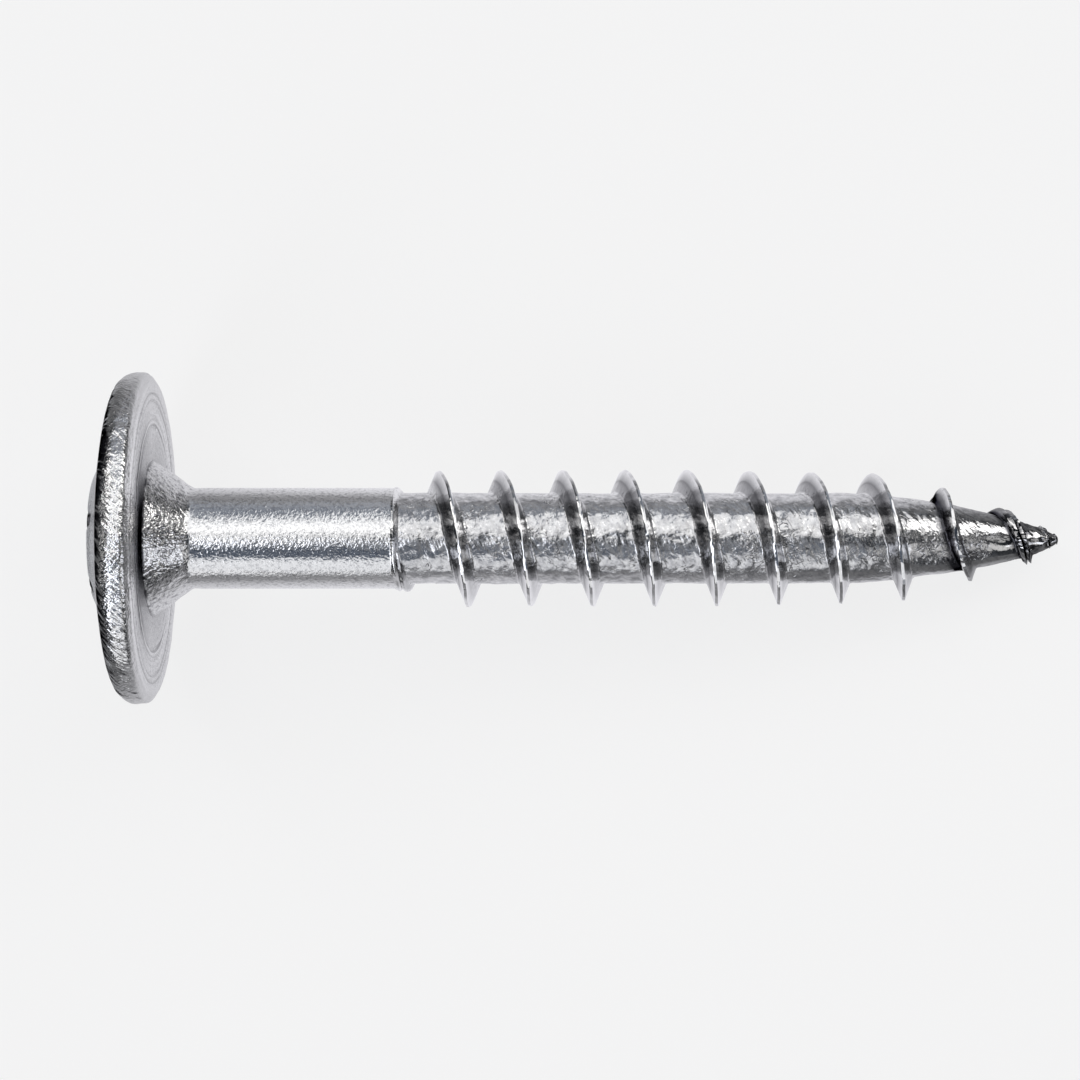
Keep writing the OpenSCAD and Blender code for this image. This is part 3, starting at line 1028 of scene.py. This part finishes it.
def room_light(stage):
    """Light from all round, weaker beyond the screw's ends and stronger near the floor, with
    the pale background where the camera looks past the floor."""
    world = bpy.data.worlds.new("room")
    bpy.context.scene.world = world
    tree = new_tree(world)
    place = add_node(tree, "TexCoord").outputs["Generated"]
    apart = add_node(tree, "SeparateXYZ", Vector=place).outputs
    ends = dim_ends(tree, apart["X"], 0, 0.08, 0.55, stage.room, stage.room * stage.room_end)
    low = add_range(tree, apart["Z"], 0, 1, 1 + stage.horizon, 1)
    level = add_math(tree, "MULTIPLY", ends, low)
    tint = add_mix(tree, apart["Z"], (0.93, 0.95, 1, 1), (0.6, 0.74, 1, 1))
    light = add_node(tree, "Background", Color=tint, Strength=level)
    pale = add_node(tree, "Background", Color=(*stage.floor, 1), Strength=1)
    seen = add_node(tree, "LightPath").outputs["Is Camera Ray"]
    mix = add_node(tree, "MixShader", Fac=seen)
    feed(tree, mix.inputs[1], light.outputs[0])
    feed(tree, mix.inputs[2], pale.outputs[0])
    add_node(tree, "OutputWorld", Surface=mix.outputs[0])


def add_floor(stage):
    """A wide flat floor under the screw."""
    mesh = bpy.data.meshes.new("floor")
    half = 3.0
    corners = [(-half, -half, 0), (half, -half, 0), (half, half, 0), (-half, half, 0)]
    mesh.from_pydata(corners, [], [(0, 1, 2, 3)])
    mesh.materials.append(floor_material(stage))
    floor = add_object("floor", mesh)


def add_lamps(stage):
    """The softboxes: brightness, place along and across, reach each way, and tint."""
    key, fill, side, end = stage.key_light, stage.fill_light, stage.side_light, stage.end_light
    warm, cool = (1, 0.985, 0.965), (0.92, 0.94, 1)
    lamps = {
        "key_softbox_head": (0.7 * key, -14, 28, 11, 34, warm),
        "key_softbox_shank": (0.25 * key, -7, 9, 6, 13, warm),
        "key_softbox_thread": (key, 15, 38.5, 18, 27.5, warm),
        "key_softbox_point": (2.6 * key, 41, 46, 11, 10.5, warm),
        "fill_softbox_head": (fill, -12, -67, 9, 21, warm),
        "fill_softbox_thread": (fill, 9, -64, 12, 17, warm),
        "gap_softbox": (0.22 * side, 13, -19, 9, 27, warm),
        "rim_softbox_low": (2.3 * side, -21.5, -31, 6.5, 31, cool),
        "rim_softbox_high": (1.5 * side, -28, 38, 6, 20, warm),
        "rim_softbox_front": (1.2 * side, -21, -52, 7, 13, cool),
        "head_softbox_far": (0.5 * side, -65, -8, 9, 12, warm),
        "flank_softbox_high": (1.3 * side, -44, 32, 6, 7, warm),
        "flank_softbox_low": (0.9 * side, -38, -13, 5, 9, warm),
        "point_softbox_low": (0.7 * side, 40, -44, 10, 15, warm),
        "point_softbox_middle": (0.6 * side, 48, 2, 5, 13, warm),
        "neck_softbox_front": (1.3 * end, 62, -46, 10, 16, cool),
        "neck_softbox_back": (0.75 * end, 60, 52, 9, 12, warm),
    }
    for name, settings in lamps.items():
        softbox(name, *settings)
    crown_card(0.45 * side, cool)


def add_camera(stage):
    """The camera above the screw, square to its axis."""
    seat, along, side = lying_axes()
    up = along.cross(side)
    tilt = stage.view_tilt
    right = along * math.cos(tilt) - up * math.sin(tilt)
    back = along * math.sin(tilt) + up * math.cos(tilt)
    camera = add_object("camera", bpy.data.cameras.new("camera"))
    camera.data.sensor_width = 36
    camera.data.lens = camera.data.sensor_width * stage.view_height / stage.frame_w
    camera.data.clip_start = 0.005
    camera.data.dof.use_dof = False
    middle = seat + along * stage.view_middle - side * stage.view_shift
    turned = Matrix((right, side, back)).transposed().to_4x4()
    camera.matrix_world = Matrix.Translation(middle + back * stage.view_height) @ turned
    bpy.context.scene.camera = camera


class SCREW_OT_stage(bpy.types.Operator):
    """Lay the floor, set the lamps and place the camera above the screw"""

    bl_idname = "screw.stage"
    bl_label = "Stage"

    def execute(self, context):
        stage = context.scene.screw_stage
        context.scene.view_settings.view_transform = "Standard"
        add_floor(stage)
        room_light(stage)
        add_lamps(stage)
        add_camera(stage)
        return {"FINISHED"}


class SCREW_PT_sidebar(bpy.types.Panel):
    """The screw's sizes and its operators"""

    bl_label = "Chipboard screw"
    bl_space_type = "VIEW_3D"
    bl_region_type = "UI"
    bl_category = "Screw"

    def draw(self, context):
        for group in GROUPS:
            box = self.layout.box()
            box.label(text=GROUPS[group].__doc__)
            for name in GROUPS[group].__annotations__:
                box.prop(getattr(context.scene, group), name)
        self.layout.operator(SCREW_OT_build.bl_idname)
        self.layout.operator(SCREW_OT_stage.bl_idname)


GROUPS = {
    "screw_head": ScrewHead,
    "screw_shank": ScrewShank,
    "screw_thread": ScrewThread,
    "screw_surface": ScrewSurface,
    "screw_stage": ScrewStage,
}
CLASSES = (*GROUPS.values(), SCREW_OT_build, SCREW_OT_stage, SCREW_PT_sidebar)


def register():
    for item in CLASSES:
        bpy.utils.register_class(item)
    for name, group in GROUPS.items():
        setattr(bpy.types.Scene, name, bpy.props.PointerProperty(type=group))


def unregister():
    for name in GROUPS:
        delattr(bpy.types.Scene, name)
    for item in reversed(CLASSES):
        bpy.utils.unregister_class(item)


def main():
    register()
    bpy.ops.screw.stage()
    bpy.ops.screw.build()


if __name__ == "__main__":
    main()
